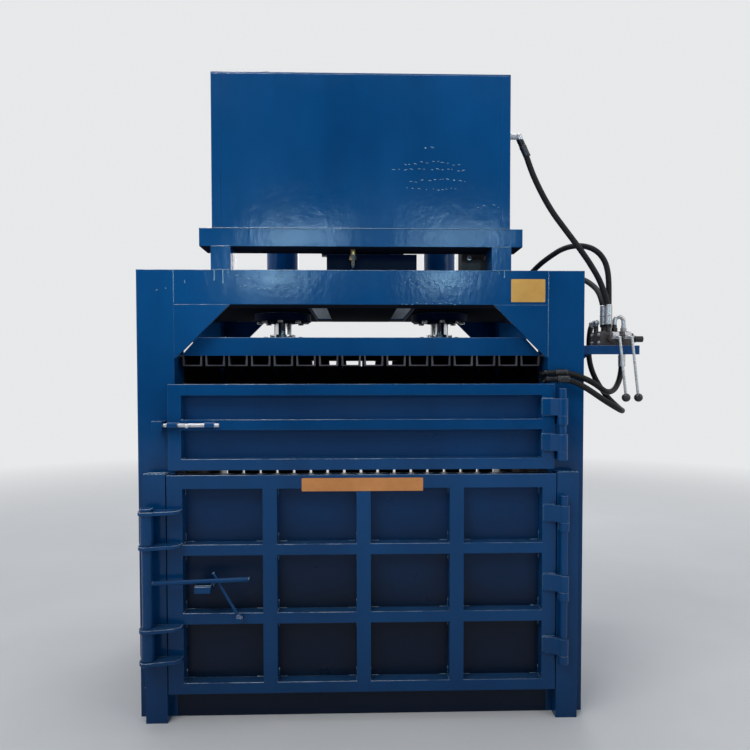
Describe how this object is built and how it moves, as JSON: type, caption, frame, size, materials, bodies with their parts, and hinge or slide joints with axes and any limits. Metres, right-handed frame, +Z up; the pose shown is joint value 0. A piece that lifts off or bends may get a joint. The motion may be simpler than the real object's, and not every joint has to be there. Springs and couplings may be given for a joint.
{
  "type": "vertical recycling baler",
  "caption": "Upright hydraulic baler with a chamber behind an upper and a lower door, a platen driven by twin cylinders, an oil tank on top and a hand valve.",
  "frame": {"origin": "on the floor under the middle of the frame", "axes": "+Z up, the doors face -Y, +X to the viewer's right"},
  "size_m": [2.117, 1.196, 2.688],
  "materials": {
    "blue_paint": "glossy brushed enamel",
    "shade_paint": "glossy brushed enamel, thinner coat",
    "grey_primer": "matt primer, rubbed to bare steel at the ends",
    "bare_steel": "bright zinc or ground steel",
    "rod_chrome": "hard chrome rod",
    "cast_valve": "primed cast iron",
    "brass": "passivated brass",
    "black_rubber": "hose cover",
    "black_plastic": "moulded knobs and covers",
    "alloy": "die-cast alloy"
  },
  "bodies": {
    "frame": {"front_left_post": "blue_paint", "front_right_post": "blue_paint", "rear_left_post": "blue_paint", "rear_right_post": "blue_paint", "front_top_beam": "blue_paint", "rear_top_beam": "blue_paint", "side_top_beams": "blue_paint", "corner_gussets": "blue_paint", "centre_tie": "shade_paint", "deck_plates": "shade_paint", "sill_beams": "shade_paint", "floor_grid": "shade_paint", "left_side_wall": "blue_paint", "right_side_wall": "blue_paint", "rear_wall": "shade_paint", "door_jambs": "blue_paint", "shelf_beam": "blue_paint", "shelf_posts": "blue_paint", "tank_shell": "blue_paint", "tank_lid": "blue_paint", "tank_fittings": "bare_steel", "drain_cock": "brass", "left_barrel": "blue_paint", "right_barrel": "blue_paint", "cylinder_glands": "shade_paint", "flange_bolts": "bare_steel", "link_pipes": "bare_steel", "motor_stand": "blue_paint", "motor_body": "blue_paint", "fan_cover": "black_plastic", "bell_housing": "shade_paint", "gear_pump": "alloy", "valve_bracket": "shade_paint", "valve_body": "cast_valve", "valve_fittings": "bare_steel", "return_hose": "black_rubber", "rear_hose": "black_rubber", "side_hose": "black_rubber", "feed_hose": "black_rubber", "under_hose": "black_rubber", "hinge_pins": "blue_paint", "door_keepers": "blue_paint"},
    "filler_cap": {"filler_cap": "black_plastic"},
    "cock_handle": {"cock_handle": "black_plastic"},
    "motor_shaft": {"motor_shaft": "bare_steel"},
    "left_lever": {"left_lever": "bare_steel"},
    "right_lever": {"right_lever": "bare_steel"},
    "relief_knob": {"relief_knob": "black_plastic"},
    "platen": {"platen_frame": "blue_paint", "platen_channels": "grey_primer", "left_ram": "rod_chrome", "right_ram": "rod_chrome"},
    "upper_door": {"upper_door_frame": "blue_paint", "upper_door_skin": "shade_paint"},
    "door_bolt": {"door_bolt": "bare_steel"},
    "lower_door": {"lower_door_frame": "blue_paint", "lower_door_skin": "shade_paint", "lock_ears": "blue_paint"},
    "lock_shaft": {"lock_shaft": "blue_paint"},
    "safety_stay": {"safety_stay": "blue_paint"}
  },
  "joints": [
    {"name": "platen_press", "type": "slide", "parent": "frame", "child": "platen", "axis": [0, 0, -1], "range_m": [0, 0.85]},
    {"name": "upper_door_swing", "type": "hinge", "parent": "frame", "child": "upper_door", "pos_m": [0.802, -0.614, 1.2], "axis": [0, 0, 1], "range_deg": [0, 150]},
    {"name": "door_bolt_slide", "type": "slide", "parent": "upper_door", "child": "door_bolt", "axis": [1, 0, 0], "range_m": [-0.03, 0.04]},
    {"name": "lower_door_swing", "type": "hinge", "parent": "frame", "child": "lower_door", "pos_m": [0.812, -0.614, 0.56], "axis": [0, 0, 1], "range_deg": [0, 170]},
    {"name": "lock_turn", "type": "hinge", "parent": "lower_door", "child": "lock_shaft", "pos_m": [-0.852, -0.632, 0.58], "axis": [0, 0, 1], "range_deg": [-110, 0]},
    {"name": "stay_turn", "type": "hinge", "parent": "lower_door", "child": "safety_stay", "pos_m": [-0.495, -0.608, 0.434], "axis": [0, 1, 0], "range_deg": [0, 110]},
    {"name": "left_lever_tilt", "type": "hinge", "parent": "frame", "child": "left_lever", "pos_m": [1.047, -0.522, 1.572], "axis": [1, 0, 0], "range_deg": [-12, 12], "stiffness_Nm_per_rad": 6},
    {"name": "right_lever_tilt", "type": "hinge", "parent": "frame", "child": "right_lever", "pos_m": [1.098, -0.522, 1.572], "axis": [1, 0, 0], "range_deg": [-12, 12], "stiffness_Nm_per_rad": 6},
    {"name": "relief_turn", "type": "hinge", "parent": "frame", "child": "relief_knob", "pos_m": [1.145, -0.435, 1.562], "axis": [1, 0, 0], "range_deg": [-170, 170]},
    {"name": "motor_spin", "type": "hinge", "parent": "frame", "child": "motor_shaft", "pos_m": [-0.11, -0.225, 2.054], "axis": [1, 0, 0], "continuous": true},
    {"name": "cock_turn", "type": "hinge", "parent": "frame", "child": "cock_handle", "pos_m": [-0.038, -0.5, 1.897], "axis": [0, 1, 0], "range_deg": [0, 90]},
    {"name": "cap_turn", "type": "hinge", "parent": "frame", "child": "filler_cap", "pos_m": [0.25, -0.445, 2.629], "axis": [0, 0, 1], "range_deg": [0, 90]}
  ]
}
